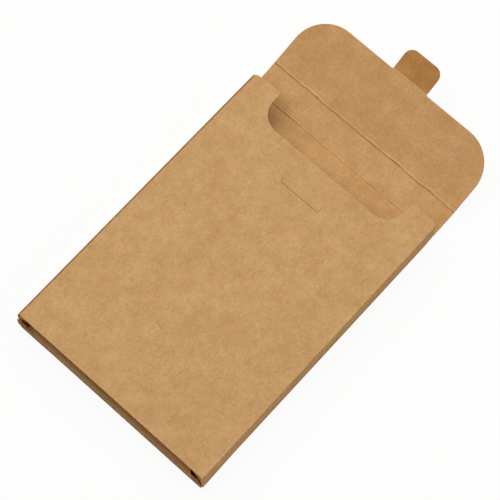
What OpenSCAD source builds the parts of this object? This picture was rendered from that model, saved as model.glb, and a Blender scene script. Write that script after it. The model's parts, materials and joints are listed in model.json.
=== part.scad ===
// Card envelope: one sheet of kraft card, cut, creased, folded and glued into a flat open-mouthed box.
// X runs across it, Y from the closed end to the mouth, Z up from the back panel that it lies on.
// The origin is the centre of the back panel's underside.

/* [Card] */
// Thickness of the card
card_t = 0.45; // [0.3:0.05:0.8]
// Outer radius of the folds along the sides
side_fold_r = 0.8; // [0.8:0.1:2]
// Gap between two layers that lie loosely on each other
layer_gap = 0.1; // [0.05:0.05:0.3]

/* [Body] */
// Width over the two side walls
body_w = 110; // [90:1:200]
// Length from the closed end to the mouth
body_l = 155; // [110:1:250]
// Depth over the front and back panels
body_d = 15; // [10:0.5:30]

/* [Thumb cut and slit] */
// Width of the thumb cut at the mouth
thumb_w = 79; // [50:1:85]
// Depth of the thumb cut
thumb_depth = 15; // [8:1:25]
// Radius of the thumb cut's two bottom corners
thumb_r = 10.5; // [2:0.5:20]
// Radius of the slit's two bends
slit_hook_r = 1.1; // [0.8:0.1:2.5]
// How far the slit's two ends reach towards the mouth
slit_hook_h = 2.8; // [2.6:0.1:6]
// Clearance of the lock tab in the slit, on each face of the tab
slit_clear = 0.1; // [0.05:0.05:0.3]
// Clearance of the lock tab in the slit, at each side of the tab
slit_side_clear = 0.15; // [0.1:0.05:1]

/* [Closed end] */
// How far the foot of the end wall stands out past its top
end_lean = 1.3; // [0.2:0.1:3]
// How far the end wall bows out between its two folds
end_bow = 0.4; // [0.2:0.1:2]
// How much narrower than the body the end wall is, at each side
end_side_gap = 0.3; // [0.1:0.1:2]
// Length of the tongue that is tucked under the front panel
tongue_l = 13; // [8:0.5:30]
// Corner radius of the tongue
tongue_r = 6; // [2:0.5:12]
// Width of the shoulder cut at each end of the tongue's fold
shoulder_w = 7.5; // [3:0.5:15]
// Length of the dust flaps
dust_l = 34; // [15:1:42]
// Length of the slanting end of a dust flap
dust_slant = 8; // [2:1:12]
// Gap above and below a dust flap
dust_edge_gap = 0.6; // [0.3:0.1:3]

/* [Glued seam] */
// Gap between the glue flap's top edge and the front panel
glue_top_gap = 2.5; // [0.5:0.5:5]
// Slant of the glue flap's two ends
glue_slant = 4; // [1:0.5:10]
// Height of the glue that runs down into the fold beside the wall
glue_bead = 0.2; // [0.1:0.05:0.4]

/* [Flap and lock tab] */
// Clearance of the shut flap over the front panel
shut_clear = 0.3; // [0.2:0.05:1]
// Length of the closing flap, from its crease to its end
flap_l = 33; // [25:1:60]
// Radius of the closing flap's two outer corners
flap_r = 17.5; // [5:0.5:22]
// Width of the lock tab
tab_w = 20; // [12:0.5:40]
// Gap between the shut tab's end and the back panel
tab_floor_gap = 2; // [1:0.25:4]
// Corner radius of the lock tab
tab_r = 4.5; // [1:0.5:5]
// Width of a crease, the strip left free between two panels
crease_w = 0.2; // [0.1:0.05:0.4]

/* [Pose of the open flap] */
// Slope of the mouth wall as the envelope lies open
wall_slope = 13; // [0:1:60]
// Slope of the closing flap
flap_slope = 18; // [0:1:80]
// Slope of the lock tab
tab_slope = 30; // [0:1:90]
// How far the mouth wall leans out from upright when the flap is shut
shut_lean = 8; // [0:0.5:10]

/* [Hidden] */
$fn = 96;
kraft = [0.78, 0.62, 0.42];
kraft_shade = [0.75, 0.58, 0.39];
half_w = body_w / 2;
y_mouth = body_l / 2;
y_end = -body_l / 2;
// Inner face of the end wall at its top fold and at its foot
y_end_inner = y_end + card_t;
y_end_foot = y_end_inner - end_lean;
// Side walls stop here, at the folds of their dust flaps
y_wall_end = y_end_inner + layer_gap + card_t;
z_front = body_d - card_t;
// Underside of the tongue, which lies loosely under the front panel
z_tongue = z_front - layer_gap - card_t;
// From crease to crease, so that the shut flap lies just over the front panel
wall_w = (z_front + shut_clear) / cos(shut_lean);
tab_l = z_front + shut_clear - tab_floor_gap;
// The shut flap's crease stands out past the mouth by the lean of the wall
y_shut_crease = y_mouth + crease_w / 2 + wall_w * sin(shut_lean);
// The shut tab hangs down from the flap's end, and the slit lies under its middle
y_slit = y_shut_crease - flap_l - card_t / 2;
slit_w = card_t + 2 * slit_clear;
slit_straight = tab_w + 2 * slit_side_clear;
// Creases of the open flap
crease_z = card_t;
wall_y = y_mouth + crease_w / 2;
flap_y = wall_y + wall_w * cos(wall_slope);
flap_z = crease_z + wall_w * sin(wall_slope);
tab_y = flap_y + flap_l * cos(flap_slope);
tab_z = flap_z + flap_l * sin(flap_slope);

// Quarter of a fold in section, centred on the fold, in the quadrant given by two signs
module fold_section(sx, sz) {
    intersection() {
        difference() {
            circle(r = side_fold_r);
            circle(r = side_fold_r - card_t);
        }
        translate([sx > 0 ? 0 : -side_fold_r, sz > 0 ? 0 : -side_fold_r])
            square(side_fold_r);
    }
}

// Wrap of front panel, two walls and back panel, seen along Y
module tube_section() {
    fold_x = half_w - side_fold_r;
    translate([-fold_x, z_front])
        square([2 * fold_x, card_t]);
    translate([half_w - card_t, side_fold_r])
        square([card_t, body_d - 2 * side_fold_r]);
    translate([-half_w, 0])
        square([card_t, body_d - side_fold_r]);
    translate([-fold_x + card_t, 0])
        square([2 * fold_x - card_t, card_t]);
    translate([-fold_x, body_d - side_fold_r])
        fold_section(-1, 1);
    translate([fold_x, body_d - side_fold_r])
        fold_section(1, 1);
    translate([fold_x, side_fold_r])
        fold_section(1, -1);
    translate([-fold_x + card_t, side_fold_r])
        fold_section(-1, -1);
}

module tube() {
    translate([0, y_mouth, 0])
        rotate([90, 0, 0])
            linear_extrude(y_mouth - y_wall_end)
                tube_section();
    // Front and back panels run on past the walls, the back panel to the foot of the end wall
    panel_w = body_w - 2 * side_fold_r;
    translate([-panel_w / 2, y_end, z_front])
        cube([panel_w, y_wall_end - y_end, card_t]);
    translate([-panel_w / 2, y_end_foot, 0])
        cube([panel_w, y_wall_end - y_end_foot, card_t]);
}

// Flap folded up from the back panel and glued inside the left wall
module glue_flap() {
    z0 = side_fold_r - glue_bead;
    z1 = z_front - glue_top_gap;
    translate([-half_w + card_t, 0, 0])
        rotate([90, 0, 90])
            linear_extrude(card_t)
                polygon([
                    [y_wall_end, z0],
                    [y_mouth, z0],
                    [y_mouth, side_fold_r],
                    [y_mouth - glue_slant, z1],
                    [y_wall_end + glue_slant, z1],
                    [y_wall_end, side_fold_r]
                ]);
}

// Arc of the end wall from its foot to its top fold, seen along X, with the rounded fold at its foot
module end_wall_section() {
    rise = z_tongue - card_t;
    chord = sqrt(rise * rise + end_lean * end_lean);
    r_in = (chord * chord / 4 + end_bow * end_bow) / (2 * end_bow);
    half_angle = asin(chord / 2 / r_in);
    reach = 2 * (r_in + card_t);
    translate([y_end_foot, card_t]) {
        circle(r = card_t);
        rotate(-atan(end_lean / rise))
            translate([r_in - end_bow, chord / 2])
                intersection() {
                    difference() {
                        circle(r = r_in + card_t, $fn = 360);
                        circle(r = r_in, $fn = 360);
                    }
                    polygon([
                        [0, 0],
                        [-reach * cos(half_angle), reach * sin(half_angle)],
                        [-reach * cos(half_angle), -reach * sin(half_angle)]
                    ]);
                }
    }
}

// Sheet drawn in the XY plane with two rounded corners at its far end
module rounded_tongue(width, length, radius) {
    r = min(radius, width / 2, length);
    difference() {
        translate([-width / 2, 0])
            square([width, length]);
        for (side = [-1, 1])
            translate([side * (width / 2 - r), length - r])
                difference() {
                    translate([side > 0 ? 0 : -r - 1, 0])
                        square(r + 1);
                    circle(r = r);
                }
    }
}

// End wall folded up from the back panel, with its tongue tucked in under the front panel
module tuck_end() {
    wall_span = body_w - 2 * end_side_gap;
    tongue_w = wall_span - 2 * shoulder_w;
    translate([-wall_span / 2, 0, 0])
        rotate([90, 0, 90])
            linear_extrude(wall_span)
                end_wall_section();
    translate([-tongue_w / 2, y_end_inner, z_tongue])
        rotate([0, 90, 0])
            cylinder(r = card_t, h = tongue_w);
    translate([0, y_end_inner, z_tongue])
        linear_extrude(card_t)
            rounded_tongue(tongue_w, tongue_l, tongue_r);
}

// Dust flap folded in from a side wall, behind the end wall; side is -1 for left and 1 for right
module dust_flap(side) {
    z0 = card_t + dust_edge_gap;
    z1 = z_tongue - dust_edge_gap;
    x_fold = half_w - card_t;
    x_tip = x_fold - dust_l;
    mirror([side < 0 ? 1 : 0, 0, 0]) {
        translate([x_fold, y_wall_end, z0])
            cylinder(r = card_t, h = z1 - z0);
        translate([0, y_wall_end, 0])
            rotate([90, 0, 0])
                linear_extrude(card_t)
                    polygon([
                        [x_fold, z0],
                        [x_fold, z1],
                        [x_tip + dust_slant, z1],
                        [x_tip, z0 + dust_slant / 2],
                        [x_tip, z0]
                    ]);
    }
}

// Thumb cut in the front panel, open at the mouth
module thumb_cut() {
    translate([0, y_mouth, z_front - 1])
        mirror([0, 1, 0])
            linear_extrude(card_t + 2)
                union() {
                    rounded_tongue(thumb_w, thumb_depth, thumb_r);
                    translate([-thumb_w / 2, -1])
                        square([thumb_w, 2]);
                }
}

// Slit for the lock tab, its two ends bent towards the mouth
module tab_slit() {
    r = slit_hook_r;
    translate([0, y_slit, z_front - 1])
        linear_extrude(card_t + 2) {
            translate([-slit_straight / 2, -slit_w / 2])
                square([slit_straight, slit_w]);
            for (side = [-1, 1])
                translate([side * slit_straight / 2, r]) {
                    intersection() {
                        difference() {
                            circle(r = r + slit_w / 2);
                            circle(r = r - slit_w / 2);
                        }
                        translate([side > 0 ? 0 : -2 * r, -2 * r])
                            square(2 * r);
                    }
                    translate([side * r - slit_w / 2, 0])
                        square([slit_w, slit_hook_h - r]);
                }
        }
}

module envelope_body() {
    color(kraft)
        difference() {
            union() {
                tube();
                glue_flap();
                tuck_end();
                dust_flap(-1);
                dust_flap(1);
            }
            thumb_cut();
            tab_slit();
        }
}

// Places a panel that lies outward of its crease, at the crease's place and slope
module at_crease(y, z, slope) {
    translate([0, y, z])
        rotate([slope, 0, 0])
            translate([0, 0, -card_t])
                children();
}

module mouth_wall() {
    color(kraft)
        at_crease(wall_y, crease_z, wall_slope)
            translate([-half_w, crease_w / 2, 0])
                cube([body_w, wall_w - crease_w, card_t]);
}

module closing_flap() {
    color(kraft_shade)
        at_crease(flap_y, flap_z, flap_slope)
            translate([0, crease_w / 2, 0])
                linear_extrude(card_t)
                    rounded_tongue(body_w, flap_l - crease_w, flap_r);
}

module lock_tab() {
    color(kraft_shade)
        at_crease(tab_y, tab_z, tab_slope)
            translate([0, crease_w / 2, 0])
                linear_extrude(card_t)
                    rounded_tongue(tab_w, tab_l - crease_w / 2, tab_r);
}

envelope_body();
mouth_wall();
closing_flap();
lock_tab();
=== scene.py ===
import json
import math

import bpy
import numpy as np
from mathutils import Matrix, Vector, noise
from mathutils.geometry import delaunay_2d_cdt


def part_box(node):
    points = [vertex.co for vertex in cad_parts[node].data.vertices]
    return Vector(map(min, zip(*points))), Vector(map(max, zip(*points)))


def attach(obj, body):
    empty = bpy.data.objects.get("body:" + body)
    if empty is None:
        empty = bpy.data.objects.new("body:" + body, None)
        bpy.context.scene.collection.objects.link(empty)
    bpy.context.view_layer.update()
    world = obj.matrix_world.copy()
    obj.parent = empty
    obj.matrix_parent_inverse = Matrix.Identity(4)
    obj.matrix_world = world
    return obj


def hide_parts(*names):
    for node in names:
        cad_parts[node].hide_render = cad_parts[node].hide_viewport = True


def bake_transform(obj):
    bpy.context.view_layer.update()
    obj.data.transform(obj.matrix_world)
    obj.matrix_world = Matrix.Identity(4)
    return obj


# Kraft card envelope. The sheet is drawn flat, as it was cut, and folded up point by point.
# Lengths in the dictionaries are millimetres, except in the studio's, and angles are degrees.
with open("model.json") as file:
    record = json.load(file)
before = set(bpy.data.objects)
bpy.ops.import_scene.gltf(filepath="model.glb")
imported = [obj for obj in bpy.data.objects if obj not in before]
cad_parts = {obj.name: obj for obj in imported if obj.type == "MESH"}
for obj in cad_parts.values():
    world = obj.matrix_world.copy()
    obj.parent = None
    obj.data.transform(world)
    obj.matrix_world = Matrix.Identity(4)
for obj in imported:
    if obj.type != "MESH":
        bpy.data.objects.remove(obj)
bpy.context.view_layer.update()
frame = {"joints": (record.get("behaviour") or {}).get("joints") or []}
mm = 0.001

joints = {joint["name"]: joint for joint in frame["joints"]}
bodyLow, bodyHigh = (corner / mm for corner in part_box("envelope_body"))


def creasePoint(name):
    return Vector(joints[name]["pos_m"][1:]) / mm


# The hinge axes lie on the card's inner face, so the first one's height is the card's thickness
wallCrease = creasePoint("wall_crease")
flapCrease = creasePoint("flap_crease")
tabCrease = creasePoint("tab_crease")
thickness = wallCrease.y
# At their low limits the three panels lie flat, so these limits add up to the slopes at rest
bends = {name: -joint["range_deg"][0] for name, joint in joints.items()}
wallSlope = bends["wall_crease"]
wallLength = (flapCrease - wallCrease).length
flapLength = (tabCrease - flapCrease).length
halfWidth = bodyHigh.x
mouthY = bodyHigh.y
height = bodyHigh.z

card = {
    "gridStep": 2.5,          # mesh spacing on the flat panels
    "ringInset": 0.35,        # row of points just inside every cut edge
    "ringApart": 0.08,        # its points are merged when they are closer than this
    "shortestEdge": 0.03,
    "cutBevel": 0.05,         # the blade's slight rounding of the cut edges
    "buttBevel": 0.004,       # next to none where two pieces of the sheet meet
    "cutWearAndHighlight": 0.4,           # how far the cut edges show paler torn fibres and a painted highlight
    "cutSide": 0.35,          # and how far their borders go from one face's colour to the other's
    "foldRadius": 0.8,        # outer radius of the folds along the sides
    "tightRadius": 0.275,     # middle of the card in the folds at the closed end
    "foldStep": 11.0,         # degrees for each facet of a fold
}


# Small helpers
def smooth(t):
    t = min(max(t, 0.0), 1.0)
    return t * t * (3.0 - 2.0 * t)


def ramp(value, start, end):
    # 0 before the start, 1 past the end and a smooth rise between; the end may be the lower of the two
    return smooth((value - start) / (end - start))


def spaced(start, end, step):
    return list(np.linspace(start, end, max(1, math.ceil(abs(end - start) / step - 1e-6)) + 1))


def walk(path, along):
    # Follows straight and bent legs, and gives the place and the heading there
    a, b = path["start"]
    heading = math.radians(path["heading"])
    left = along
    for index, (length, turn) in enumerate(path["legs"]):
        part = left if index == len(path["legs"]) - 1 else min(left, length)
        bend = math.radians(turn) * part / length
        if abs(bend) < 1e-9:
            a, b = a + part * math.cos(heading), b + part * math.sin(heading)
        else:
            radius = part / bend
            a += radius * (math.sin(heading + bend) - math.sin(heading))
            b += radius * (math.cos(heading) - math.cos(heading + bend))
            heading += bend
        left -= part
        if left <= 0:
            break
    return a, b, heading


def legMarks(path, origin=0.0, sign=1.0, step=None):
    # Grid lines along a path: fine on its bends, even on its straight legs
    marks, at = [], 0.0
    for length, turn in path["legs"]:
        pieces = max(math.ceil(abs(turn) / card["foldStep"]),
                     math.ceil(length / (step or card["gridStep"])))
        marks += [origin + sign * (at + length * k / pieces) for k in range(pieces + 1)]
        at += length
    return marks


def roundCorners(corners):
    # Corners are (s, v, radius); each one with a radius becomes an arc
    points = []
    for k, (s, v, radius) in enumerate(corners):
        here = Vector((s, v))
        if not radius:
            points.append(here)
            continue
        before = (Vector(corners[k - 1][:2]) - here).normalized()
        after = (Vector(corners[(k + 1) % len(corners)][:2]) - here).normalized()
        half = before.angle(after) / 2
        reach = radius / math.tan(half)
        centre = here + (before + after).normalized() * (radius / math.sin(half))
        first = here + before * reach - centre
        turn = math.pi - 2 * half
        if before.x * after.y - before.y * after.x > 0:
            turn = -turn
        count = max(3, math.ceil(abs(math.degrees(turn)) / 7))
        for i in range(count + 1):
            angle = turn * i / count
            points.append(centre + Vector((first.x * math.cos(angle) - first.y * math.sin(angle),
                                           first.x * math.sin(angle) + first.y * math.cos(angle))))
    return points


def splitEdges(loop, columns, rows):
    # Adds a point wherever the outline crosses a grid line, so that it folds with the sheet
    points, shortest = [], card["shortestEdge"]
    for k, p in enumerate(loop):
        q = loop[(k + 1) % len(loop)]
        span = (q - p).length
        cuts = {0.0}
        for marks, axis in ((columns, 0), (rows, 1)):
            move = q[axis] - p[axis]
            if abs(move) > 1e-6:
                cuts.update(t for t in ((m - p[axis]) / move for m in marks) if 0.0 < t < 1.0)
        last = -1.0
        for t in sorted(cuts):
            if t == 0.0 or (t - last) * span > shortest and (1.0 - t) * span > shortest:
                points.append(p.lerp(q, t))
                last = t
    return points


def outwardOf(loop):
    # Unit miter at every point of a loop that keeps the card on its left
    ways = []
    for k, p in enumerate(loop):
        ahead = (loop[(k + 1) % len(loop)] - p).normalized()
        behind = (p - loop[k - 1]).normalized()
        normal = Vector((ahead.y + behind.y, -ahead.x - behind.x))
        cosine = max(normal.length / 2, 0.5)
        ways.append(normal.normalized() / cosine)
    return ways


def insideOf(points, loops):
    odd = np.zeros(len(points), bool)
    x, y = points[:, 0], points[:, 1]
    for loop in loops:
        for k in range(len(loop)):
            (x0, y0), (x1, y1) = loop[k - 1], loop[k]
            if y0 != y1:
                crossing = ((y0 > y) != (y1 > y)) & (x < (x1 - x0) * (y - y0) / (y1 - y0) + x0)
                odd ^= crossing
    return odd


def distanceTo(points, loops):
    nearest = np.full(len(points), 1e9)
    for loop in loops:
        for k in range(len(loop)):
            a, b = np.array(loop[k - 1]), np.array(loop[k])
            d = b - a
            t = np.clip(((points - a) @ d) / max(d @ d, 1e-12), 0, 1)
            nearest = np.minimum(nearest, np.linalg.norm(points - a - t[:, None] * d, axis=1))
    return nearest


def cardPiece(name, loops, columns, rows, fold, press, butt=lambda p: False):
    # Meshes a flat cut shape, then folds it into a closed sheet with two faces and a cut edge
    loops = [splitEdges(loop, columns, rows) for loop in loops]
    bevels, cutPoints, innerLoops, ringPoints = [], [], [], []
    for loop in loops:
        ways = outwardOf(loop)
        inner = []
        for p, way in zip(loop, ways):
            depth = card["buttBevel"] if butt(p) else card["cutBevel"]
            cutPoints.append(p)
            bevels.append(depth)
            inner.append(p - way * depth)
            ringPoints.append(p - way * card["ringInset"])
        innerLoops.append(inner)
    flat = [[tuple(p) for p in loop] for loop in innerLoops]
    # Grid points stay clear of the ring, and ring points of the next edge round a corner
    gridClear, ringClear = card["ringInset"] * 1.4, card["ringInset"] * 0.75
    grid = np.array([(s, v) for s in sorted(set(columns)) for v in sorted(set(rows))])
    low, high = np.min(flat[0], axis=0), np.max(flat[0], axis=0)
    grid = grid[np.all((grid > low) & (grid < high), axis=1)]
    grid = grid[insideOf(grid, flat)]
    grid = grid[distanceTo(grid, flat) > gridClear]
    ring = np.array([tuple(p) for p in ringPoints])
    ring = ring[insideOf(ring, flat)]
    ring = ring[distanceTo(ring, flat) > ringClear]
    ring = ring[np.unique(np.round(ring / card["ringApart"]).astype(int), axis=0, return_index=True)[1]]

    points = [Vector(p) for loop in flat for p in loop]
    borderCount = len(points)
    edges, start = [], 0
    for loop in flat:
        edges += [(start + k, start + (k + 1) % len(loop)) for k in range(len(loop))]
        start += len(loop)
    points += [Vector(p) for p in ring] + [Vector(p) for p in grid]
    verts, _, faces, origins, _, _ = delaunay_2d_cdt(points, edges, [], 0, 1e-5)
    spots = np.array([tuple(p) for p in verts])
    triangles = np.array([f for f in faces if len(f) == 3])
    corner = spots[triangles]
    area = np.cross(corner[:, 1] - corner[:, 0], corner[:, 2] - corner[:, 0])
    triangles[area < 0] = triangles[area < 0][:, ::-1]
    keep = insideOf(corner.mean(axis=1), flat) & (np.abs(area) > 1e-8)
    triangles = triangles[keep]
    used = np.unique(triangles)
    renumber = np.full(len(spots), -1)
    renumber[used] = np.arange(len(used))
    triangles = renumber[triangles]
    spots = spots[used]
    origin = [next((o for o in origins[k] if o < borderCount), None) for k in used]

    directed = {(int(t[i]), int(t[(i + 1) % 3])) for t in triangles for i in range(3)}
    border = sorted((a, b) for a, b in directed if (b, a) not in directed)
    borderVerts = sorted({a for edge in border for a in edge})
    count, rim = len(spots), len(borderVerts)
    rimIndex = {v: k for k, v in enumerate(borderVerts)}

    folded = [fold(s, v) for s, v in spots]
    places, blank, side, cut, paintedShade, wearAndHighlight = [], [], [], [], [], []
    for sign in (1, -1):
        for (s, v), (place, normal, outer, inner) in zip(spots, folded):
            depth = outer if sign > 0 else -inner
            places.append(place + normal * depth)
            blank.append((s, v, depth))
            side.append(0.0 if sign > 0 else 1.0)
            cut.append(0.0)
            # press gives painted shade here, and painted light where it is below 0
            mark = press(s, v)
            paintedShade.append(max(mark, 0.0))
            wearAndHighlight.append(max(-mark, 0.0))
    for sign in (1, -1):
        for k in borderVerts:
            source = origin[k]
            s, v = cutPoints[source] if source is not None else spots[k]
            place, normal, outer, inner = fold(s, v)
            slack = bevels[source] if source is not None else card["buttBevel"]
            depth = outer - slack if sign > 0 else slack - inner
            places.append(place + normal * depth)
            blank.append((s, v, depth))
            side.append(card["cutSide"] if sign > 0 else 1.0 - card["cutSide"])
            cut.append(1.0)
            # The cut edges get paler fibres and a painted highlight, less under painted shade
            paintedShade.append(max(press(s, v), 0.0))
            wearAndHighlight.append(card["cutWearAndHighlight"] * (1.0 - paintedShade[-1]))

    polygons = [tuple(t) for t in triangles] + [tuple(t[::-1] + count) for t in triangles]
    sharp = []
    for a, b in border:
        upA, upB = 2 * count + rimIndex[a], 2 * count + rimIndex[b]
        lowA, lowB = upA + rim, upB + rim
        polygons += [(b, a, upA, upB), (upB, upA, lowA, lowB), (lowB, lowA, a + count, b + count)]
        sharp += [(a, b), (a + count, b + count)]
    mesh = bpy.data.meshes.new(name)
    mesh.from_pydata([tuple(p * mm) for p in places], [], [tuple(int(i) for i in f) for f in polygons])
    mesh.update()
    mesh.polygons.foreach_set("use_smooth", np.ones(len(mesh.polygons), bool))
    ends = np.zeros(len(mesh.edges) * 2, int)
    mesh.edges.foreach_get("vertices", ends)
    ends = np.sort(ends.reshape(-1, 2), axis=1)
    codes = ends[:, 0] * len(places) + ends[:, 1]
    hard = np.array([min(e) * len(places) + max(e) for e in sharp])
    mesh.attributes.new("sharp_edge", "BOOLEAN", "EDGE").data.foreach_set("value", np.isin(codes, hard))
    mesh.attributes.new("blank", "FLOAT_VECTOR", "POINT").data.foreach_set(
        "vector", (np.array(blank, np.float32) * mm).ravel())
    # The last two attributes carry painted shade and painted light to the material
    for label, values in (("side", side), ("cut", cut), ("press", paintedShade), ("wearAndHighlight", wearAndHighlight)):
        mesh.attributes.new(label, "FLOAT", "POINT").data.foreach_set("value", np.array(values, np.float32))
    piece = bpy.data.objects.new(name, mesh)
    bpy.context.scene.collection.objects.link(piece)
    print(f"{name}: {len(mesh.polygons)} faces")
    return piece


# Folds of the body. The wrap runs from the left wall's free edge over the front, the right wall and
# the back to the glue flap, so s is the way along it and v is the place along Y.
body = {
    "endHalf": (53.9, 54.4),  # half width of the end wall on its left and right
    "tongueHalf": (47.2, 48.3),
    "shoulderSlot": (0.8, 1.5),
    "slotDepth": 1.3,
    "endFlare": 22.0,         # degrees that the end wall's foot leans in before it turns upright
    "endTurn": 20.0,
    "endTurnLength": 5.0,
    "endTop": 3.0,
    "endClear": 0.1,          # its top stays this far under the front panel
    "endStep": 1.6,
    "footBulge": (0.22, 0.08),    # the foot bulges a little towards its two ends
    "tongueLength": 13.0,
    "tongueRadius": 6.0,
    "endStandOff": (0.75, 0.65),  # the end wall's corners, free of the tongue, stand off this far
    "dustLength": 34.0,
    "dustTurn": 100.0,
    "dustSlant": 8.0,
    "dustTop": 13.9,
    "dustFoot": 1.05,
    "glueTop": 12.05,
    "glueSlant": 4.0,
    "glueLayer": 0.02,
    "wallShort": 0.95,        # the side walls stop this far from the closed end, and the front panel
    "frontShort": 1.25,       # this far
    "endMargin": 0.85,        # the end wall's fold passes the walls' by this much
    "stripInset": 1.3,        # the mouth wall's crease is let in this far from the sides
    "wallCut": 0.5,           # the back panel's piece ends this far before the mouth
    "curl": 0.15,             # the mouth's left corner, freed by the thumb cut, curls up
    "frontBow": 0.4,          # the front panel's rise in its middle
    "footSpread": 0.27,       # the right side wall's foot stands out a little, more so at its end
    "footCorner": 0.3,
    "wave": 0.07,             # long shallow waves of card that has been handled
    "waveLength": 42.0,
    "lip": 1.3,               # the front panel reaches a little past the walls at the mouth
    "lipHalf": 53.3,
    "lipRise": (-0.35, 0.4, 0.0, -0.4),   # its edge at its left end, beside the thumb cut, at its right end
    "thumbLeft": (-39.0, 14.2, 10.3),
    "thumbRight": (39.6, 14.65, 9.4),
    "slitWidth": 0.15,
    "tabLate": 0.2,           # the tab turns up this far after the middle of its crease
    "tabRoot": 0.13,          # the crease presses the lock tab's root thin enough for the slit
    "slitHalf": 10.15,
    "slitAside": 0.2,
    "slitBend": 1.1,
    "slitHook": 2.8,
    "foldShade": 0.88,         # painted shade on the left fold's outer side
    "foldHighlight": 0.8,          # painted highlight along the right fold
    "thumbShade": 0.06,           # painted shade inside, on the floor beyond the thumb cut
    "endDark": 0.75,          # painted shade on the end wall towards its top
    # painted shade at the end wall's top fold and its free corners
    "topShade": 0.2,
    # painted bounce light at the end wall's foot
    "footBounce": 0.8,
    "cornerColumns": (45.0, 51.0, 0.6),   # closer columns where the end wall's corners come free
    "foldEdge": (0.13, 0.27),             # and beside the folds, for the edges of their painted shade and highlight
}

half = thickness / 2
foldMid = card["foldRadius"] - half
foldLeg = foldMid * math.pi / 2
wallRise = height - card["foldRadius"]
panelWidth = 2 * (halfWidth - card["foldRadius"])
backWidth = panelWidth - thickness
wrap = {
    "start": (-halfWidth + half, 0.0),
    "heading": 90.0,
    "legs": [(wallRise, 0), (foldLeg, -90), (panelWidth, 0), (foldLeg, -90),
             (wallRise - card["foldRadius"], 0), (foldLeg, -90), (backWidth, 0), (foldLeg, -90),
             (body["glueTop"] - card["foldRadius"], 0)],
}
wrapAt = [0.0]
for leg, _ in wrap["legs"]:
    wrapAt.append(wrapAt[-1] + leg)
frontLeft, frontRight = wrapAt[2], wrapAt[3]
rightTop = wrapAt[4]
backRight, backLeft = wrapAt[6], wrapAt[7]
glueFoot, glueTip = wrapAt[8], wrapAt[9]

wallEnd = bodyLow.y + body["wallShort"]     # the side walls stop here, at the folds of their dust flaps
panelEnd = bodyLow.y + body["frontShort"]   # cut end of the front panel
backEnd = mouthY - body["wallCut"]          # the mouth wall's piece goes on from here
tight = card["tightRadius"]
footStart = bodyLow.y + tight + half        # the back panel's fold into the end wall
dustStart = wallEnd + 0.05
endColumn = backRight - body["endMargin"]   # past wallEnd, the sheet is end wall from here on


def riseOf(legs, heading):
    rise = 0.0
    for length, turn in legs:
        start, end = math.radians(heading), math.radians(heading + turn)
        rise += length * (math.cos(start) - math.cos(end)) / (end - start)
        heading += turn
    return rise


footTurn = 90.0 + body["endFlare"]
lowHeading = 180.0 - footTurn
highHeading = lowHeading + body["endTurn"]
topHeading = highHeading + body["endTop"]
footBend = (tight * math.radians(footTurn), -footTurn)
lowLeg = (body["endTurnLength"], body["endTurn"])
topBend = (tight * math.radians(topHeading), -topHeading)
endRise = height - thickness - body["endClear"] - thickness
freeRise = endRise - riseOf([footBend, lowLeg], 180.0) - riseOf([topBend], topHeading)
highLeg = (freeRise / riseOf([(1.0, body["endTop"])], highHeading), body["endTop"])
endPath = {
    "start": (footStart, half),
    "heading": 180.0,
    "legs": [footBend, lowLeg, highLeg, topBend, (body["tongueLength"], 0)],
}
shoulderAt = footStart - footBend[0] - lowLeg[0] - highLeg[0]
tongueTip = shoulderAt - topBend[0] - body["tongueLength"]
dustLeg = tight * math.radians(body["dustTurn"])
dustTip = dustStart - dustLeg - body["dustLength"]


def waves(x, y, seed):
    return noise.noise(Vector((x, y * 0.7, seed)) / body["waveLength"])


def settle(place):
    # The wrapped body's slack: the front rises a little, and nothing in it is quite flat
    x, y, z = place
    top = ramp(z, 11.0, 14.0)
    across = max(0.0, 1.0 - (x / (halfWidth - 0.6)) ** 2)
    away = ramp(y, 44.0, -1.0)
    z += top * across * (body["frontBow"] * away + body["wave"] * (0.3 + 0.7 * away) * waves(x, y, 3.7))
    # The thumb cut leaves the left corner of the mouth free to curl
    z += body["curl"] * top * ramp(y, 68.0, 79.0) * ramp(x, -34.0, -40.0) * ramp(x, -55.0, -49.0)
    if x > 0:
        spread = body["footSpread"] + body["footCorner"] * ramp(y, -58.0, -76.0)
        x += spread * (x / halfWidth) * (1.0 - z / height) * ramp(y, mouthY - 1.0, mouthY - 6.0)
    return Vector((x, y, z))


def foldBody(s, v):
    depths = (half, half)
    if v < wallEnd and s > endColumn:
        # End wall and tongue: flat across, folded along Y
        x = halfWidth - card["foldRadius"] - (s - backRight)
        if v >= footStart:
            return Vector((x, v, half)), Vector((0, 0, -1)), *depths
        y, z, heading = walk(endPath, footStart - v)
        right = int(x > 0)
        y -= body["footBulge"][right] * ramp(abs(x), 32.0, 44.0) * smooth(z) * ramp(z, 12.0, 2.0)
        past = abs(x) - body["tongueHalf"][right]
        if v >= shoulderAt - 0.02:
            # The tongue's cut ends let the corners go, and the card below them gives way gradually
            fade = 0.8 + 0.9 * max(0.0, endRise - z)
            free = smooth((past - 0.4) / fade + 0.5) * ramp(z, 0.3, 1.8)
            y += free * (bodyLow.y + half - body["endStandOff"][right] * ramp(z, 0.0, 9.0) - y)
        normal = Vector((0, -math.sin(heading), math.cos(heading)))
        return settle(Vector((x, y, z))), normal, *depths
    if v < dustStart and not frontLeft - 0.01 < s < frontRight + 0.01 and s < backRight:
        # Dust flaps: folded in from the side walls
        left = s < frontLeft
        x0, z, _ = walk(wrap, s)
        turn = body["dustTurn"] * (1 if left else -1)
        path = {"start": (x0, dustStart), "heading": -90.0,
                "legs": [(dustLeg, turn), (body["dustLength"], 0)]}
        x, y, heading = walk(path, dustStart - v)
        normal = Vector((-math.sin(heading), math.cos(heading), 0)) * (-1 if left else 1)
        return settle(Vector((x, y, z))), normal, *depths
    x, z, heading = walk(wrap, s)
    shift = body["glueLayer"] if s > glueFoot else 0.0
    normal = Vector((-math.sin(heading), 0, math.cos(heading)))
    return settle(Vector((x + shift, v, z))), normal, *depths


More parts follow.
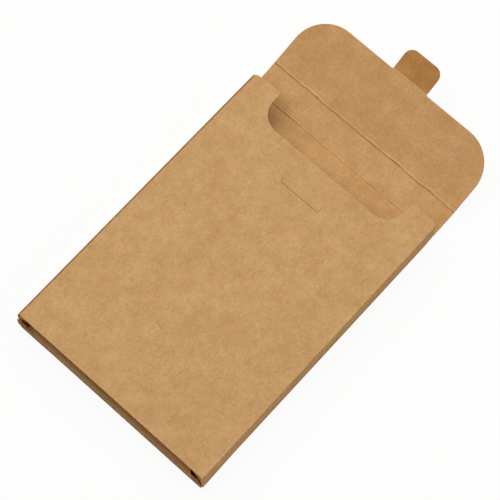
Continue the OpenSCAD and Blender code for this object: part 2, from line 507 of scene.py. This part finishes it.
def wallAt(z, right):
    # Place along the wrap of a height on a side wall
    return rightTop + (wallRise - z) if right else z


def frontAt(x):
    return (frontLeft + frontRight) / 2 + x


def backAt(x):
    return backRight + (halfWidth - card["foldRadius"]) - x


def bodyOutline():
    spec = body
    (endLeft, endRight), (tongueLeft, tongueRight) = spec["endHalf"], spec["tongueHalf"]
    slotLeft, slotRight = spec["shoulderSlot"]
    slotFloor = shoulderAt + spec["slotDepth"]
    strip = halfWidth - spec["stripInset"]
    foot, slanted, top = spec["dustFoot"], spec["dustFoot"] + spec["dustSlant"] / 2, spec["dustTop"]
    lower = [(0, wallEnd, 0), (wallAt(foot, False), wallEnd, 0.3), (wallAt(foot, False), dustTip, 1.0),
             (wallAt(slanted, False), dustTip, 1.0), (wallAt(top, False), dustTip + spec["dustSlant"], 1.0),
             (wallAt(top, False), wallEnd, 0.2), (frontLeft, wallEnd, 0), (frontLeft, panelEnd, 0.2),
             (frontRight, panelEnd, 0.2), (frontRight, wallEnd, 0), (wallAt(top, True), wallEnd, 0.2),
             (wallAt(top, True), dustTip + spec["dustSlant"], 1.0), (wallAt(slanted, True), dustTip, 1.0),
             (wallAt(foot, True), dustTip, 1.0), (wallAt(foot, True), wallEnd, 0),
             (backRight, wallEnd, 0), (backRight, footStart, 0), (backAt(endRight), footStart, 0),
             (backAt(endRight), shoulderAt, 0.7), (backAt(tongueRight + slotRight), shoulderAt, 0.3),
             (backAt(tongueRight + slotRight), slotFloor, 0.3), (backAt(tongueRight), slotFloor, 0.3),
             (backAt(tongueRight), tongueTip, spec["tongueRadius"]),
             (backAt(-tongueLeft), tongueTip, spec["tongueRadius"]),
             (backAt(-tongueLeft), slotFloor, 0.3), (backAt(-tongueLeft - slotLeft), slotFloor, 0.3),
             (backAt(-tongueLeft - slotLeft), shoulderAt, 0.3), (backAt(-endLeft), shoulderAt, 0.7),
             (backAt(-endLeft), footStart, 0), (backLeft, footStart, 0), (backLeft, wallEnd, 0),
             (glueFoot, wallEnd, 0), (glueTip, wallEnd + spec["glueSlant"], 1.0)]
    lip, rise = mouthY + spec["lip"], spec["lipRise"]
    (leftX, leftDepth, leftRadius), (rightX, rightDepth, rightRadius) = spec["thumbLeft"], spec["thumbRight"]
    upper = [(glueTip, mouthY - spec["glueSlant"], 1.0), (glueFoot, mouthY, 0),
             (backAt(-strip), mouthY, 0), (backAt(-strip), backEnd, 0),
             (backAt(strip), backEnd, 0), (backAt(strip), mouthY, 0), (frontRight, mouthY, 0),
             (frontAt(spec["lipHalf"]), lip + rise[3], 0.7), (frontAt(rightX + 0.6), lip + rise[2], 0.9),
             (frontAt(rightX), mouthY - rightDepth, rightRadius),
             (frontAt(leftX), mouthY - leftDepth, leftRadius),
             (frontAt(leftX - 0.3), lip + rise[1], 1.2), (frontAt(-spec["lipHalf"]), lip + rise[0], 0.7),
             (frontLeft, mouthY, 0), (0, mouthY, 0)]
    return roundCorners(lower + upper)


def slitOutline(centreY):
    spec = body
    line = [Vector((-spec["slitHalf"] - spec["slitBend"], spec["slitHook"]))]
    for k in range(9):
        angle = math.radians(180 + 90 * k / 8)
        line.append(Vector((-spec["slitHalf"] + spec["slitBend"] * math.cos(angle),
                            spec["slitBend"] * (1 + math.sin(angle)))))
    line += [Vector((-p.x, p.y)) for p in reversed(line)]
    near, far = [], []
    for k, p in enumerate(line):
        ahead = (line[min(k + 1, len(line) - 1)] - line[max(k - 1, 0)]).normalized()
        across = Vector((-ahead.y, ahead.x)) * spec["slitWidth"] / 2
        near.append(p + across)
        far.append(p - across)
    # A hole keeps the card on its left too, so it runs the other way round
    middle = Vector((frontAt(spec["slitAside"]), centreY))
    return [middle + p for p in near + far[::-1]]


# Where the lock tab comes down through the front panel once the envelope is shut
shutLean = math.radians(wallSlope + joints["wall_crease"]["range_deg"][1])
slitY = wallCrease.x + wallLength * math.cos(shutLean) - flapLength - body["tabRoot"] / 2
slitY -= body["tabLate"] * math.sin(math.radians(bends["tab_crease"]))


def foldBand(distance):
    # 1 on a fold and 0 from 0.5 mm beside its middle
    return ramp(abs(distance), 0.5, 0.2)


def paintedLightBody(s, v):
    # Painted shade here, or painted light where it is below 0: shade on the left fold, a highlight on the
    # right fold, shade up the end wall to its top fold and bounce light at its foot
    shadedFold = body["foldShade"] * foldBand(s - frontLeft + 0.25) * ramp(v, panelEnd - 0.5, panelEnd - 0.1)
    if s < endColumn:
        # Painted shade on the left fold and a painted highlight along the right one
        return shadedFold - body["foldHighlight"] * foldBand(s - frontRight - 0.25)
    if v > footStart:
        # Painted shade on the back panel's inner floor towards the mouth, more towards the left
        return body["thumbShade"] * ramp(v, 40.0, 55.0) * (1.0 + 0.5 * ramp(s, backAt(-8.0), backAt(-20.0)))
    along = footStart - v
    free = ramp(abs(backAt(0) - s), 47.5, 48.5) * ramp(along, 12.5, 13.5)
    # Painted bounce light at the end wall's foot, painted shade up to its top fold and at its free corners
    bounceLit = body["footBounce"] * smooth(along) * ramp(along, 5.0, 2.0)
    top = max(ramp(along, 12.0, 13.5), free)
    return body["endDark"] * ramp(along, 2.0, 11.0) + body["topShade"] * top - bounceLit


bodyRows = (spaced(dustStart, backEnd, card["gridStep"]) + [wallEnd, panelEnd, footStart, mouthY + 0.5]
            + legMarks(endPath, footStart, -1.0, body["endStep"])
            + legMarks({"legs": [(dustLeg, 90), (body["dustLength"], 0)]}, dustStart, -1.0))
bodyColumns = legMarks(wrap)
bodyColumns += [backAt(side * x) for side in (-1, 1) for x in spaced(*body["cornerColumns"])]
for edge in body["foldEdge"]:
    bodyColumns += [frontLeft + edge, frontRight - edge]
envelopeBody = cardPiece(
    "envelopeBody", [bodyOutline(), slitOutline(slitY)], bodyColumns, bodyRows, foldBody, paintedLightBody,
    butt=lambda p: backRight < p.x < backLeft and p.y > backEnd - 0.01)
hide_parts("envelope_body")
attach(envelopeBody, "body")

# The mouth wall, the closing flap and the lock tab go on from the back panel. Their path follows the
# inner face, through the hinge axes. First the three creases that part them:
creases = {
    "bendHalf": 0.35,         # half the width over which the card bends at a crease
    "blendHalf": 0.45,        # half the width over which it turns when a hinge moves
    "tabBlendHalf": 0.25,     # and when the tab's does
    "mouthBead": (0.11, 0.5, 0.6),    # bead left by the creasing rule: height, steep flank, long flank
    "flapBead": (0.2, 0.6, 0.8),
    "drift": 0.15,            # the beads lie a little before their creases
    "uneven": 0.5,            # share by which a crease's strength varies along it
    "stray": (0.2, 0.5),      # how far the mouth's crease and the flap's leave their lines
    "strayLength": (7.0, 2.7),
    "mouthShade": (0.3, -0.15, 0.3),   # painted shade along the creases: strength, place and width
    "mouthLeftShade": 0.5,                 # more painted shade on the mouth's towards its left, in the front panel's shadow
    # painted shade along the flap's crease
    "flapShade": (0.44, -0.1, 0.32),
    "mouthHighlight": (0.45, 0.45, 0.3),   # and painted highlights on the ridges beside them and at the tab's crease
    "flapHighlight": (0.55, 0.75, 0.3),
    "tabHighlight": (2.2, -0.08, 0.32),
    "rows": (-0.9, 1.5, 0.12),        # mesh rows from before a crease to past it, and their step
    "columnStep": 1.6,
}
wallShape = {
    "pale": 0.2,              # painted light: the mouth wall is a little paler than the flap, but for its shaded left end
    "sideRadius": 0.4,
    "rowStep": 2.2,
}
flapShape = {
    "end": 0.5,               # the flap's piece begins this far before its crease
    "short": 0.35,            # its far edge, beside the tab, lies this far before the tab's crease
    "farCorner": ((54.9, 0.25, 17.9), (54.75, -0.12, 18.6)),
    "aside": 0.15,            # the flap stands a little to the right of the body
    "skew": 0.004,
    "wave": 0.05,
    "rowStep": 2.4,
}
tabShape = {
    "length": 12.85,
    "half": 10.1,
    "radius": 4.6,
    "fillet": 0.6,
    "end": 0.3,               # the tab's piece begins this far before the flap's far edge
    "rowStep": 1.8,
    "columnStep": 1.25,
}
chainStart = wallCrease.x - 2.0
bendWidth = 2 * creases["bendHalf"]
chainPath = {
    "start": (chainStart, thickness),
    "heading": 0.0,
    "legs": [(2.0 - creases["bendHalf"], 0), (bendWidth, bends["wall_crease"]),
             (wallLength - bendWidth, 0), (bendWidth, bends["flap_crease"]),
             (flapLength - bendWidth + body["tabLate"], 0), (bendWidth, bends["tab_crease"]),
             (tabShape["length"] - creases["bendHalf"] - body["tabLate"], 0)],
}
wallV = wallCrease.x
flapV = wallV + wallLength
tabV = flapV + flapLength
tipV = tabV + tabShape["length"]


def bead(distance, uneven, size):
    # A steep flank up towards the mouth and a long one down, as in the photographed creases
    high, rise, fall = size
    return high * uneven * (smooth((distance + rise / 2) / rise) - smooth((distance - rise * 0.7) / fall))


def creaseDrift(x, v):
    # A crease is never even: how strong it is, and how far it strays from its line
    longWave, shortWave = creases["strayLength"]
    uneven = 1.0 + creases["uneven"] * noise.noise(Vector((x / longWave, v / 40.0, 5.1)))
    atMouth, atFlap = creases["stray"]
    stray = atMouth + (atFlap - atMouth) * ramp(v, wallV, wallV + 6.0)
    coarse = noise.noise(Vector((x / longWave, 2.3, 0.4)))
    fine = noise.noise(Vector((x / shortWave, 7.7, 0.9)))
    return uneven, stray * (coarse + 0.4 * fine)


def foldChain(s, v):
    x = backAt(0) - s
    aside = flapShape["aside"] * ramp(v, wallV, wallV + 12.0) + flapShape["skew"] * max(0.0, v - wallV)
    y, z, heading = walk(chainPath, v - chainStart)
    inward = Vector((0, -math.sin(heading), math.cos(heading)))
    uneven, sway = creaseDrift(x, v)
    sway += creases["drift"]
    lift = bead(v - wallV + sway, uneven, creases["mouthBead"])
    lift += bead(v - flapV + sway, uneven, creases["flapBead"])
    rooted = ramp(v, tabV - 0.75, tabV - 0.25) - ramp(v, tabV + 0.85, tabV + 1.25)
    press = (thickness - body["tabRoot"]) * rooted
    press *= ramp(abs(x), tabShape["half"] + 1.1, tabShape["half"] + 0.6)
    # Waves grow out from the creases, where the card is held straight
    free = min(ramp(abs(v - crease), 0.0, 12.0) for crease in (wallV, flapV, tabV)) if v > wallV else 0.0
    lift += flapShape["wave"] * free * waves(x, v, 9.2)
    place = Vector((x + aside, y, z)) - inward * half
    return place, -inward, half - lift - press, half + lift


def softLine(distance, line):
    strength, place, width = line
    return strength * math.exp(-(((distance - place) / width) ** 2))


def paintedLightChain(s, v):
    # Painted shade along the creases, more so towards the left of the mouth, in the front panel's shadow
    x = backAt(0) - s
    uneven, sway = creaseDrift(x, v)
    sway += creases["drift"]
    mouth, flap, tab = v - wallV + sway, v - flapV + sway, v - tabV
    strength, place, width = creases["mouthShade"]
    strength += creases["mouthLeftShade"] * ramp(x, -15.0, -35.0)
    dark = uneven * (softLine(mouth, (strength, place, width)) + softLine(flap, creases["flapShade"]))
    # and painted highlights along the ridges and at the tab's crease
    light = softLine(mouth, creases["mouthHighlight"]) + softLine(flap, creases["flapHighlight"])
    light += softLine(tab, creases["tabHighlight"])
    # Painted light on the mouth wall, but not on its shaded left end
    light += wallShape["pale"] * smooth(mouth - 1.0) * smooth(-flap) * ramp(x, -40.0, -22.0)
    return max(-1.0, min(1.0, dark - light))


def creaseRows(crease):
    return [crease + d for d in np.arange(*creases["rows"])]


chainColumns = [backAt(x) for x in spaced(-halfWidth, halfWidth, creases["columnStep"])]
chainRows = (creaseRows(wallV) + creaseRows(flapV) + creaseRows(tabV)
             + spaced(wallV + 2.1, flapV - 1.0, wallShape["rowStep"])
             + spaced(flapV + 2.1, tabV - 1.0, flapShape["rowStep"])
             + spaced(tabV + 2.1, tipV, tabShape["rowStep"]))
strip = halfWidth - body["stripInset"]
wallFoot = wallV - 0.1 - body["wallCut"]
wallSide = wallV + 0.05
flapFoot = flapV - flapShape["end"]
sideRadius = wallShape["sideRadius"]


def mouthWallButts(p):
    atBody = p.y < wallSide + 0.001 and abs(backAt(0) - p.x) < strip + 0.01
    return atBody or p.y > flapFoot - 0.01


mouthWall = cardPiece(
    "mouthWall",
    [roundCorners([(backAt(strip), wallFoot, 0), (backAt(-strip), wallFoot, 0),
                   (backAt(-strip), wallSide, 0), (backAt(-halfWidth), wallSide, sideRadius),
                   (backAt(-halfWidth), flapFoot, 0), (backAt(halfWidth), flapFoot, 0),
                   (backAt(halfWidth), wallSide, sideRadius), (backAt(strip), wallSide, 0)])],
    chainColumns, chainRows, foldChain, paintedLightChain, butt=mouthWallButts)
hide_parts("mouth_wall")


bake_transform(mouthWall)

tabSide = tabShape["half"] + tabShape["fillet"]
flapEdge = tabV - flapShape["short"]
(farLeft, leftOn, leftRound), (farRight, rightOn, rightRound) = flapShape["farCorner"]
tabJoint = flapEdge - tabShape["end"]
closingFlap = cardPiece(
    "closingFlap",
    [roundCorners([(backAt(halfWidth), flapFoot, 0), (backAt(-halfWidth), flapFoot, 0),
                   (backAt(-farLeft), flapEdge + leftOn, leftRound), (backAt(-tabSide), flapEdge, 0),
                   (backAt(-tabSide), tabJoint, 0), (backAt(tabSide), tabJoint, 0),
                   (backAt(tabSide), flapEdge, 0), (backAt(farRight), flapEdge + rightOn, rightRound)])],
    chainColumns, chainRows, foldChain, paintedLightChain,
    butt=lambda p: p.y < flapFoot + 0.01 or abs(backAt(0) - p.x) < tabSide + 0.01)
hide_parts("closing_flap")
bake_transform(closingFlap)

# Just short of the full radius, so that the fillet leaves a straight edge at its end
tabHalf, tabFillet, tabRadius = tabShape["half"], tabShape["fillet"] * 0.98, tabShape["radius"]
lockTab = cardPiece(
    "lockTab",
    [roundCorners([(backAt(tabSide), tabJoint, 0), (backAt(-tabSide), tabJoint, 0),
                   (backAt(-tabSide), flapEdge, 0), (backAt(-tabHalf), flapEdge, tabFillet),
                   (backAt(-tabHalf), tipV, tabRadius), (backAt(tabHalf), tipV, tabRadius),
                   (backAt(tabHalf), flapEdge, tabFillet), (backAt(tabSide), flapEdge, 0)])],
    chainColumns + [backAt(x) for x in spaced(-10, 10, tabShape["columnStep"])], chainRows,
    foldChain, paintedLightChain, butt=lambda p: p.y < flapEdge + 0.01)
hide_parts("lock_tab")
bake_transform(lockTab)
print("The sheet is folded")


# Materials
def linear(hexColour):
    parts = [int(hexColour[k:k + 2], 16) / 255 for k in (1, 3, 5)]
    return (*(c / 12.92 if c <= 0.04045 else ((c + 0.055) / 1.055) ** 2.4 for c in parts), 1.0)


def addNode(tree, kind, sockets=None, **settings):
    node = tree.nodes.new("ShaderNode" + kind)
    for key, value in settings.items():
        setattr(node, key, value)
    for key, value in (sockets or {}).items():
        if isinstance(value, bpy.types.NodeSocket):
            tree.links.new(value, node.inputs[key])
        else:
            node.inputs[key].default_value = value
    return node


# Uncoated unbleached kraft card, calendered but not printed: a soft brown cloudiness from the way the
# pulp settled, long fibres that just show, a few dark flecks of bark, and hardly any sheen.
kraft = {
    "outerFace": "#C1996B",
    "innerFace": "#C29566",
    "layerGap": 37.0,         # the two faces come from different depths of the pulp
    "cutAndHighlight": "#D0A676",     # paler torn fibres at the cut, with a painted highlight where a rounded edge would catch light; also the painted highlights' colour
    "cutShare": 0.2,
    "wearAndHighlightShare": 0.6,
    "paintedShade": "#865422",     # painted shade: in the creases, on the left fold, up the end wall and on the floor inside
    "paintedShadeShare": 0.97,
    "tabShaded": "#B17B46",     # painted shade: the tab, turned away from the light, is a little darker and warmer
    "redCloud": ("#C9915F", 8.0, 0.25),       # colour, size and greatest share
    "yellowCloud": ("#BE9758", 7.0, 0.35),
    "cloudSize": 24.0,
    "cloudDepth": 0.05,
    "mottleSize": 7.0,
    "mottleDepth": 0.14,
    "grainSize": 1.0,         # real fibres are 0.03 mm wide; drawn coarser so that they show
    "grainDepth": 0.13,
    "fineRough": 0.8,         # how much of the mottle and the grain is in their finer detail
    "streakWidth": 0.55,      # bundles of long fibres, drawn coarser as well
    "streakStretch": 0.14,
    "streakTurns": (12, 74, 131),
    "streakRange": (0.6, 0.78),
    "streakDepth": 0.1,
    "toneShare": (0.77, 0.99, 1.46),  # pale fibres are less yellow, so a pattern moves blue the most
    "fleck": "#7D5430",
    "fleckSpacing": 7.0,
    "fleckRadius": 0.3,
    "fleckMissing": 0.85,     # share of the places that stay without one
    "fleckShare": 0.6,
    "bumpStrength": 0.12,
    "bumpHeight": 0.06,
    "roughness": (0.74, 0.84),
    "ior": 1.45,
    "specular": 0.04,
}


def kraftCard(name, innerFace):
    material = bpy.data.materials.new(name)
    material.use_nodes = True
    tree = material.node_tree
    tree.nodes.clear()
    blank = addNode(tree, "Attribute", attribute_name="blank").outputs["Vector"]
    side, cut, paintedShade, wearAndHighlight = (addNode(tree, "Attribute", attribute_name=n).outputs["Fac"]
                                for n in ("side", "cut", "press", "wearAndHighlight"))
    layer = addNode(tree, "Math", {0: side, 1: kraft["layerGap"] * mm}, operation="MULTIPLY").outputs[0]
    apart = addNode(tree, "CombineXYZ", {2: layer}).outputs[0]
    place = addNode(tree, "VectorMath", {0: blank, 1: apart}, operation="ADD").outputs[0]

    def cloudiness(size, detail, stretch=(1, 1, 1), turn=0.0, shift=0.0, rough=0.55):
        held = addNode(tree, "Mapping", {"Vector": place, "Location": (shift, shift, shift),
                                         "Rotation": (0, 0, math.radians(turn)),
                                         "Scale": stretch}).outputs[0]
        return addNode(tree, "TexNoise", {"Vector": held, "Scale": 1 / (size * mm), "Detail": detail,
                                          "Roughness": rough}).outputs[0]

    def around(pattern, depth):
        return addNode(tree, "MapRange", {0: pattern, 1: 0.25, 2: 0.75, 3: 1 - depth, 4: 1 + depth},
                       clamp=False).outputs[0]

    def times(a, b):
        return addNode(tree, "Math", {0: a, 1: b}, operation="MULTIPLY").outputs[0]

    def tinted(amount, colour, shade):
        return addNode(tree, "Mix", {0: amount, 6: colour, 7: linear(shade)}, data_type="RGBA").outputs[2]

    mottle = cloudiness(kraft["mottleSize"], 3.0, rough=kraft["fineRough"])
    grain = cloudiness(kraft["grainSize"], 2.0, rough=kraft["fineRough"])
    tone = times(around(cloudiness(kraft["cloudSize"], 1.0), kraft["cloudDepth"]),
                 around(mottle, kraft["mottleDepth"]))
    tone = times(tone, around(grain, kraft["grainDepth"]))
    # Streaks of fibre lying three ways
    streaks = None
    fewest, most = kraft["streakRange"]
    for turn in kraft["streakTurns"]:
        fibres = cloudiness(kraft["streakWidth"], 1.0, (1, kraft["streakStretch"], 1), turn)
        lines = addNode(tree, "MapRange", {0: fibres, 1: fewest, 2: most, 3: 0.0, 4: 1.0}).outputs[0]
        if streaks is None:
            streaks = lines
        else:
            streaks = addNode(tree, "Math", {0: streaks, 1: lines}, operation="MAXIMUM").outputs[0]
    darker = addNode(tree, "MapRange", {0: streaks, 3: 1.0, 4: 1.0 - kraft["streakDepth"]}).outputs[0]
    tone = times(tone, darker)

    base = addNode(tree, "Mix", {0: side, 6: linear(kraft["outerFace"]), 7: linear(innerFace)},
                   data_type="RGBA").outputs[2]
    # Each cloud has a shift of its own, so that they don't lie on each other
    for cloud, shift in (("redCloud", 0.31), ("yellowCloud", 0.77)):
        colour, size, most = kraft[cloud]
        amount = addNode(tree, "MapRange", {0: cloudiness(size, 2.0, shift=shift), 1: 0.3, 2: 0.7,
                                            3: 0.0, 4: most}).outputs[0]
        base = tinted(amount, base, colour)
    # Paler fibres and a painted highlight at the cut edges, and painted highlights on folds, ridges and the
    # end wall's foot
    base = tinted(times(wearAndHighlight, kraft["wearAndHighlightShare"]), base, kraft["cutAndHighlight"])
    base = tinted(times(cut, kraft["cutShare"]), base, kraft["cutAndHighlight"])
    # Painted shade in the creases, on the left fold, up the end wall and on the floor inside
    base = tinted(times(paintedShade, kraft["paintedShadeShare"]), base, kraft["paintedShade"])
    share = kraft["toneShare"]
    spread = addNode(tree, "VectorMath", {0: tone, 1: share, 2: [1 - c for c in share]},
                     operation="MULTIPLY_ADD").outputs[0]
    base = addNode(tree, "VectorMath", {0: base, 1: spread}, operation="MULTIPLY").outputs[0]
    # Flecks: a few cells of a Voronoi pattern hold one each
    cells = addNode(tree, "TexVoronoi", {"Vector": place, "Scale": 1 / (kraft["fleckSpacing"] * mm)})
    radius = kraft["fleckRadius"] / kraft["fleckSpacing"]
    reach = addNode(tree, "MapRange", {0: cells.outputs["Distance"], 1: 0.0, 2: radius,
                                       3: 1.0, 4: 0.0}).outputs[0]
    chosen = addNode(tree, "SeparateColor", {0: cells.outputs["Color"]}).outputs[0]
    chosen = addNode(tree, "Math", {0: chosen, 1: kraft["fleckMissing"]},
                     operation="GREATER_THAN").outputs[0]
    base = tinted(times(times(reach, chosen), kraft["fleckShare"]), base, kraft["fleck"])

    relief = addNode(tree, "Math", {0: grain, 1: streaks}, operation="SUBTRACT").outputs[0]
    bump = addNode(tree, "Bump", {"Height": relief, "Strength": kraft["bumpStrength"],
                                  "Distance": kraft["bumpHeight"] * mm}).outputs[0]
    smoothest, roughest = kraft["roughness"]
    rough = addNode(tree, "MapRange", {0: mottle, 1: 0.3, 2: 0.7, 3: smoothest, 4: roughest}).outputs[0]
    shader = addNode(tree, "BsdfPrincipled", {"Base Color": base, "Roughness": rough, "IOR": kraft["ior"],
                                              "Specular IOR Level": kraft["specular"], "Normal": bump})
    out = addNode(tree, "OutputMaterial", {"Surface": shader.outputs[0]})
    out.is_active_output = True
    return material


card350 = kraftCard("kraft card, uncoated", kraft["innerFace"])
for piece in (envelopeBody, mouthWall, closingFlap):
    piece.data.materials.append(card350)
lockTab.data.materials.append(kraftCard("kraft card, uncoated, in painted shade", kraft["tabShaded"]))
print("Materials are on")

# Studio: a pale floor, a big soft box high on the left and a white room. Lengths here are metres.
studio = {
    "roomLight": (0.0, 0.12),     # the room's glow from below and from above
    "aim": (0.0, 0.02, 0.0),  # what the lamps point at
    "floorHalf": 3.0,
    "floorDrop": 0.00003,     # the floor lies just under the envelope
    "floorTone": "#E8E2DA",
    "floorWhite": 0.93,       # share of plain white in what the camera sees of the floor
    "boxSize": 2.2,
    "boxDistance": 1.6,
    "boxTilt": 26.0,          # degrees off the vertical
    "boxBearing": -63.0,      # degrees from +Y towards +X
    "boxPower": 37.5,
    "cardSize": 0.9,          # a white card low on the right fills in the side wall
    "cardDistance": 1.5,
    "cardTilt": 63.0,
    "cardBearing": 72.0,
    "cardPower": 5.6,
}


def seenDirectly(tree):
    # 1 for what the camera sees, also in reflections or through glass
    ray = addNode(tree, "LightPath")
    seen = ray.outputs["Is Camera Ray"]
    for kind in ("Is Glossy Ray", "Is Transmission Ray"):
        seen = addNode(tree, "Math", {0: seen, 1: ray.outputs[kind]}, operation="MAXIMUM").outputs[0]
    return seen


def floorMaterial():
    material = bpy.data.materials.new("studio floor, painted white")
    material.use_nodes = True
    tree = material.node_tree
    tree.nodes.clear()
    share = addNode(tree, "Math", {0: seenDirectly(tree), 1: studio["floorWhite"]},
                    operation="MULTIPLY").outputs[0]
    paint = addNode(tree, "BsdfDiffuse", {"Color": linear(studio["floorTone"])}).outputs[0]
    white = addNode(tree, "Emission", {"Color": (1, 1, 1, 1), "Strength": 1.0}).outputs[0]
    both = addNode(tree, "MixShader", {0: share, 1: paint, 2: white}).outputs[0]
    addNode(tree, "OutputMaterial", {"Surface": both})
    return material


floorMesh = bpy.data.meshes.new("floor")
far = studio["floorHalf"]
floorMesh.from_pydata([(-far, -far, 0), (far, -far, 0), (far, far, 0), (-far, far, 0)], [], [(0, 1, 2, 3)])
floor = bpy.data.objects.new("floor", floorMesh)
floor.location.z = -studio["floorDrop"]
bpy.context.scene.collection.objects.link(floor)
floorMesh.materials.append(floorMaterial())

world = bpy.data.worlds.new("white room")
bpy.context.scene.world = world
world.use_nodes = True
room = world.node_tree
room.nodes.clear()
facing = addNode(room, "TexCoord").outputs["Generated"]
upwards = addNode(room, "VectorMath", {0: facing, 1: (0, 0, 1)}, operation="DOT_PRODUCT").outputs["Value"]
below, above = studio["roomLight"]
glow = addNode(room, "MapRange", {0: upwards, 1: -1.0, 2: 1.0, 3: below, 4: above}).outputs[0]
strength = addNode(room, "Mix", {0: seenDirectly(room), 2: glow, 3: 1.0}, data_type="FLOAT").outputs[0]
shine = addNode(room, "Background", {"Color": (1, 1, 1, 1), "Strength": strength}).outputs[0]
addNode(room, "OutputWorld", {"Surface": shine})

for name, part in (("soft box", "box"), ("fill card", "card")):
    size, distance, tilt, bearing, power = (studio[part + key] for key in
                                            ("Size", "Distance", "Tilt", "Bearing", "Power"))
    panel = bpy.data.lights.new(name, "AREA")
    panel.shape = "SQUARE"
    panel.size = size
    panel.energy = power
    lamp = bpy.data.objects.new(name, panel)
    bpy.context.scene.collection.objects.link(lamp)
    tilt, bearing = math.radians(tilt), math.radians(bearing)
    towards = Vector((math.sin(tilt) * math.sin(bearing), math.sin(tilt) * math.cos(bearing),
                      math.cos(tilt)))
    turned = towards.to_track_quat("Z", "Y").to_matrix().to_4x4()
    lamp.matrix_world = Matrix.Translation(Vector(studio["aim"]) + towards * distance) @ turned
    lamp.visible_camera = False

# Camera at the photograph's place, solved from the envelope's own corners
view = {
    "focalPixels": 1927.86,
    "pictureWidth": 500,      # in pixels
    "sensorWidth": 36.0,
    "elevation": 71.7223,
    "azimuth": 39.3067,
    "roll": 2.8596,
    "aside": 57.98,           # the camera's offset from the closed end's middle, across and up the picture
    "above": 70.79,
    "distance": 851.578,
}
up, around = math.radians(view["elevation"]), math.radians(-view["azimuth"])
across = Vector((math.cos(around), -math.sin(around), 0))
upright = Vector((math.sin(around) * math.sin(up), math.cos(around) * math.sin(up), math.cos(up)))
back = across.cross(upright)
place = across * view["aside"] + upright * view["above"] + back * view["distance"] - Vector((0, mouthY, 0))
roll = math.radians(-view["roll"])
right = across * math.cos(roll) - upright * math.sin(roll)
top = across * math.sin(roll) + upright * math.cos(roll)
lens = bpy.data.cameras.new("camera")
lens.sensor_width = view["sensorWidth"]
lens.lens = view["focalPixels"] / view["pictureWidth"] * view["sensorWidth"]
lens.clip_end = 20
camera = bpy.data.objects.new("camera", lens)
bpy.context.scene.collection.objects.link(camera)
camera.matrix_world = Matrix.Translation(place * mm) @ Matrix((right, top, back)).transposed().to_4x4()
bpy.context.scene.camera = camera
bpy.context.scene.view_settings.view_transform = "Standard"
print("Studio and camera are in place")
